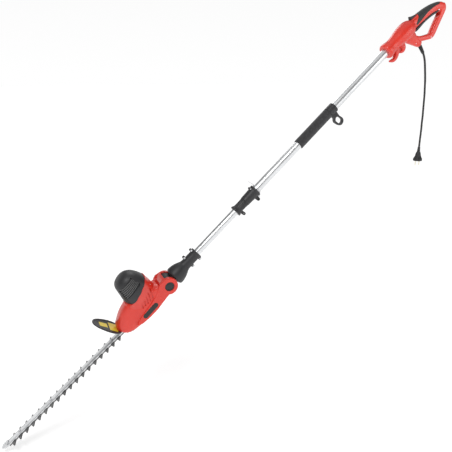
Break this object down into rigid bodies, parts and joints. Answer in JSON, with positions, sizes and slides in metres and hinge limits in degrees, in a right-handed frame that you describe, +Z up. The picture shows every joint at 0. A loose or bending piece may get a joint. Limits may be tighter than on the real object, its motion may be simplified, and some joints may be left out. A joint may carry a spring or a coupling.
{
  "type": "pole hedge trimmer",
  "caption": "Telescopic electric pole hedge trimmer with tilting motor head, reciprocating double blade, foam front grip and D-handle with trigger.",
  "frame": {"origin": "centre of the foam front grip, on the axis of the pole", "axes": "+X forward-to-back along the ground from the blade towards the handle, +Z up, +Y to the right-hand side seen from behind the handle; the pole slopes 42 degrees up from the blade to the handle in the XZ plane"},
  "size_m": [1.6919, 0.108, 1.4363],
  "materials": {
    "red_plastic": "satin moulded, lightly glossy",
    "black_plastic": "moulded, fine texture",
    "black_rubber": "soft matte",
    "grip_foam": "closed-cell foam, matte",
    "yellow_plastic": "printed label film",
    "bright_alloy": "drawn and polished",
    "cast_alloy": "die-cast",
    "screw_steel": "zinc plated",
    "blade_steel": "ground and brushed",
    "motor_steel": "laminated",
    "motor_copper": "wound copper",
    "pin_brass": "nickel-plated"
  },
  "bodies": {
    "pole": {"handle_shell_left": "red_plastic", "handle_shell_right": "red_plastic", "handle_soft_grip": "black_rubber", "handle_screws": "screw_steel", "trigger_pin": "screw_steel", "trigger_spring": "screw_steel", "switch_module": "black_plastic", "capacitor": "yellow_plastic", "cord_strain_relief": "black_rubber", "mains_cord": "black_rubber", "mains_plug": "black_rubber", "plug_pins": "pin_brass", "outer_tube": "bright_alloy", "front_grip": "grip_foam", "loop_collar": "black_plastic", "hanging_loop": "black_plastic", "lock_body_left": "black_plastic", "lock_body_right": "black_plastic", "lock_screws": "screw_steel", "guide_bush": "black_plastic", "strap_eye": "screw_steel", "coiled_lead": "black_rubber"},
    "lock_collar": {"lock_collar": "black_plastic"},
    "trigger": {"switch_trigger": "black_plastic"},
    "lock_off": {"lock_off_button": "black_plastic"},
    "boom": {"inner_tube": "bright_alloy", "tube_slider": "black_plastic", "neck_shell_left": "black_plastic", "neck_shell_right": "black_plastic", "neck_screws": "screw_steel", "inner_lead": "black_rubber"},
    "head": {"head_shell_left": "red_plastic", "head_shell_right": "red_plastic", "head_screws": "screw_steel", "motor_cap": "black_plastic", "badge_plate": "black_plastic", "blade_guard": "black_plastic", "guard_label": "yellow_plastic", "pivot_bolt": "screw_steel", "release_spring": "screw_steel", "gear_case": "cast_alloy", "gear_case_cover": "cast_alloy", "motor_stator": "motor_steel", "brush_holders": "motor_copper", "motor_bearings": "screw_steel", "blade_rail": "blade_steel", "blade_bolts": "screw_steel", "tip_guard": "black_plastic"},
    "release_button": {"release_button": "black_plastic"},
    "rotor": {"motor_rotor": "motor_copper", "motor_fan": "black_plastic", "pinion": "screw_steel"},
    "gear": {"drive_gear": "screw_steel"},
    "upper_blade": {"upper_blade": "blade_steel"},
    "lower_blade": {"lower_blade": "blade_steel"}
  },
  "joints": [
    {"name": "telescope_slide", "type": "slide", "parent": "pole", "child": "boom", "axis": [0.7431, 0, 0.6691], "range_m": [-0.35, 0.19]},
    {"name": "head_tilt", "type": "hinge", "parent": "boom", "child": "head", "pos_m": [-0.56063, 0, -0.49672], "axis": [0, 1, 0], "range_deg": [-60, 55]},
    {"name": "collar_twist", "type": "hinge", "parent": "pole", "child": "lock_collar", "pos_m": [-0.2824, 0, -0.25427], "axis": [0.7431, 0, 0.6691], "range_deg": [0, 60]},
    {"name": "trigger_pull", "type": "hinge", "parent": "pole", "child": "trigger", "pos_m": [0.50446, 0, 0.41115], "axis": [0, 1, 0], "range_deg": [0, 5], "stiffness_Nm_per_rad": 6, "springref_deg": -5.73},
    {"name": "lock_off_press", "type": "slide", "parent": "pole", "child": "lock_off", "axis": [0.3746, 0, -0.9272], "range_m": [0, 0.004], "stiffness_N_per_m": 400, "springref_m": -0.004},
    {"name": "release_press", "type": "slide", "parent": "head", "child": "release_button", "axis": [0, 1, 0], "range_m": [0, 0.003], "stiffness_N_per_m": 800, "springref_m": -0.004},
    {"name": "rotor_spin", "type": "hinge", "parent": "head", "child": "rotor", "pos_m": [-0.62747, 0, -0.55241], "axis": [-0.6401, 0, 0.7683], "continuous": true},
    {"name": "gear_spin", "type": "hinge", "parent": "head", "child": "gear", "pos_m": [-0.65052, 0, -0.57161], "axis": [-0.6401, 0, 0.7683], "continuous": true},
    {"name": "upper_blade_stroke", "type": "slide", "parent": "head", "child": "upper_blade", "axis": [-0.7683, 0, -0.6401], "range_m": [-0.007, 0.007]},
    {"name": "lower_blade_stroke", "type": "slide", "parent": "head", "child": "lower_blade", "axis": [-0.7683, 0, -0.6401], "range_m": [-0.007, 0.007]}
  ],
  "couplings": [
    {"joint": "gear_spin", "follows": "rotor_spin", "ratio": -0.2},
    {"joint": "lower_blade_stroke", "follows": "upper_blade_stroke", "ratio": -1}
  ]
}
